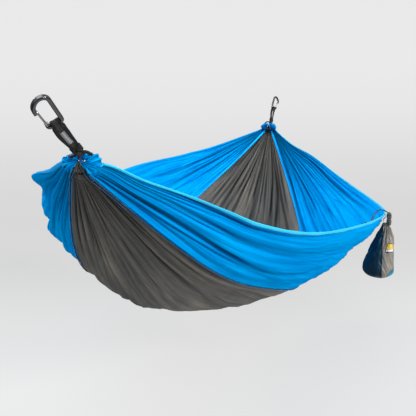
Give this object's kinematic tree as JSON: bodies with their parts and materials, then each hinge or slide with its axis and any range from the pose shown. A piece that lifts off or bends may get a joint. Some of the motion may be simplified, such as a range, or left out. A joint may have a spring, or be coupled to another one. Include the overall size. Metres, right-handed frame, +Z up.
{
  "type": "camping hammock",
  "caption": "Gathered-end camping hammock of light nylon: grey centre panel between blue side panels, webbing loops with wire-gate carabiners, attached drawcord sack.",
  "frame": {"origin": "centre of the near carabiner's top basket, the axis that hangs on the anchor", "axes": "+X from the near hanging point to the far one, +Y to the left of someone looking along +X, +Z up"},
  "size_m": [2.6446, 1.1877, 0.7677],
  "materials": {
    "bed_blue": "satin",
    "bed_blue_hem": "satin",
    "bed_grey": "satin",
    "webbing_black": "matt",
    "stitching_grey": "matt",
    "cord_black": "matt",
    "carabiner_alloy": "polished",
    "gate_steel": "polished",
    "sack_navy": "satin",
    "sack_grey": "satin",
    "sack_blue": "satin",
    "label_cloth": "matt",
    "tape_white": "matt",
    "lock_plastic": "matt",
    "spring_steel": "polished"
  },
  "bodies": {
    "root": {"centre_panel": "bed_grey", "left_panel": "bed_blue", "right_panel": "bed_blue", "left_rim_hem": "bed_blue_hem", "right_rim_hem": "bed_blue_hem", "left_seam": "bed_blue_hem", "right_seam": "bed_blue_hem", "near_end_channel": "bed_grey", "far_end_channel": "bed_grey", "near_end_cord": "cord_black", "far_end_cord": "cord_black", "sack_tether": "tape_white", "drawcord_inner_end": "cord_black", "drawcord_outer_end": "cord_black", "drawcord_end_knot": "cord_black"},
    "near_loop": {"near_suspension_loop": "webbing_black", "near_loop_stitching": "stitching_grey", "near_loop_keeper": "webbing_black"},
    "near_carabiner": {"near_carabiner_body": "carabiner_alloy"},
    "near_gate": {"near_carabiner_gate": "gate_steel"},
    "far_loop": {"far_suspension_loop": "webbing_black", "far_loop_stitching": "stitching_grey", "far_loop_keeper": "webbing_black"},
    "far_carabiner": {"far_carabiner_body": "carabiner_alloy"},
    "far_gate": {"far_carabiner_gate": "gate_steel"},
    "sack": {"sack_outer_panel": "sack_grey", "sack_inner_panel": "sack_navy", "sack_base": "sack_blue", "sack_mouth_channel": "sack_grey", "sack_label": "label_cloth", "sack_hanging_loop": "tape_white"},
    "cord_lock": {"cord_lock_barrel": "lock_plastic", "cord_lock_spring": "spring_steel"},
    "lock_plunger": {"cord_lock_plunger": "lock_plastic"}
  },
  "joints": [
    {"name": "near_loop_swing", "type": "hinge", "parent": "root", "child": "near_loop", "pos_m": [0.13106, 0, -0.09177], "axis": [-0.3531, 0.788, -0.5043], "range_deg": [-45, 45]},
    {"name": "near_carabiner_swing", "type": "hinge", "parent": "near_loop", "child": "near_carabiner", "pos_m": [0.04915, 0, -0.03442], "axis": [-0.3531, 0.788, -0.5043], "range_deg": [-70, 70]},
    {"name": "near_gate_opening", "type": "hinge", "parent": "near_carabiner", "child": "near_gate", "pos_m": [0.03642, 0.01103, -0.03603], "axis": [0.452, 0.6157, 0.6455], "range_deg": [0, 25], "stiffness_Nm_per_rad": 0.12, "springref_deg": -20.05},
    {"name": "far_loop_swing", "type": "hinge", "parent": "root", "child": "far_loop", "pos_m": [2.50878, -0.00254, -0.08761], "axis": [0.56, -0.603, -0.5682], "range_deg": [-45, 45]},
    {"name": "far_carabiner_swing", "type": "hinge", "parent": "far_loop", "child": "far_carabiner", "pos_m": [2.57345, -0.0136, -0.01213], "axis": [0.56, -0.603, -0.5682], "range_deg": [-70, 70]},
    {"name": "far_gate_opening", "type": "hinge", "parent": "far_carabiner", "child": "far_gate", "pos_m": [2.58743, -0.02309, -0.01292], "axis": [-0.5179, -0.7901, 0.328], "range_deg": [0, 25], "stiffness_Nm_per_rad": 0.12, "springref_deg": -20.05},
    {"name": "sack_swing", "type": "hinge", "parent": "root", "child": "sack", "pos_m": [1.32191, -0.5973, -0.384], "axis": [0, 1, 0], "range_deg": [-10, 10]},
    {"name": "cord_lock_slide", "type": "slide", "parent": "root", "child": "cord_lock", "axis": [0.9655, -0.2603, 0], "range_m": [0, 0.016]},
    {"name": "cord_lock_press", "type": "slide", "parent": "cord_lock", "child": "lock_plunger", "axis": [0, 0, -1], "range_m": [0, 0.0024], "stiffness_N_per_m": 600, "springref_m": -0.002, "deforming": ["cord_lock_spring"]}
  ]
}
